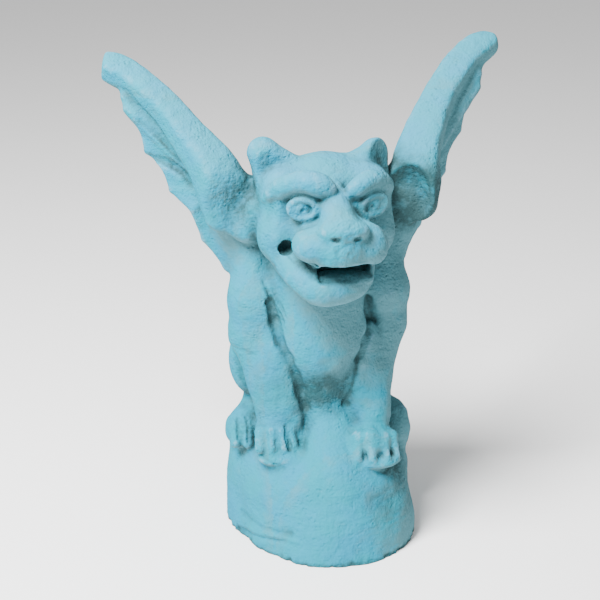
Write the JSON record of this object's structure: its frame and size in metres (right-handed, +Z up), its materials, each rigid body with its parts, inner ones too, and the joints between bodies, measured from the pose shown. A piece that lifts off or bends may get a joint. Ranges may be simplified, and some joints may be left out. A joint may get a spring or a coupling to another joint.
{
  "type": "gargoyle statue",
  "caption": "Winged, dog-faced garden gargoyle crouching on a low round plinth, cast in one piece, with raised bat wings, a wide grin and pointed ears.",
  "frame": {"origin": "middle of the plinth's flat underside", "axes": "+Z up, the beast looks along -Y, and its left side is +X"},
  "size_m": [0.3639, 0.213, 0.4363],
  "materials": {
    "painted_casting": "matte pale turquoise masonry paint over pitted cast concrete, with rubbed pinkish-white spots and a grey-green shade in the hollows"
  },
  "bodies": {
    "root": {"gargoyle_statue": "painted_casting"}
  },
  "joints": []
}
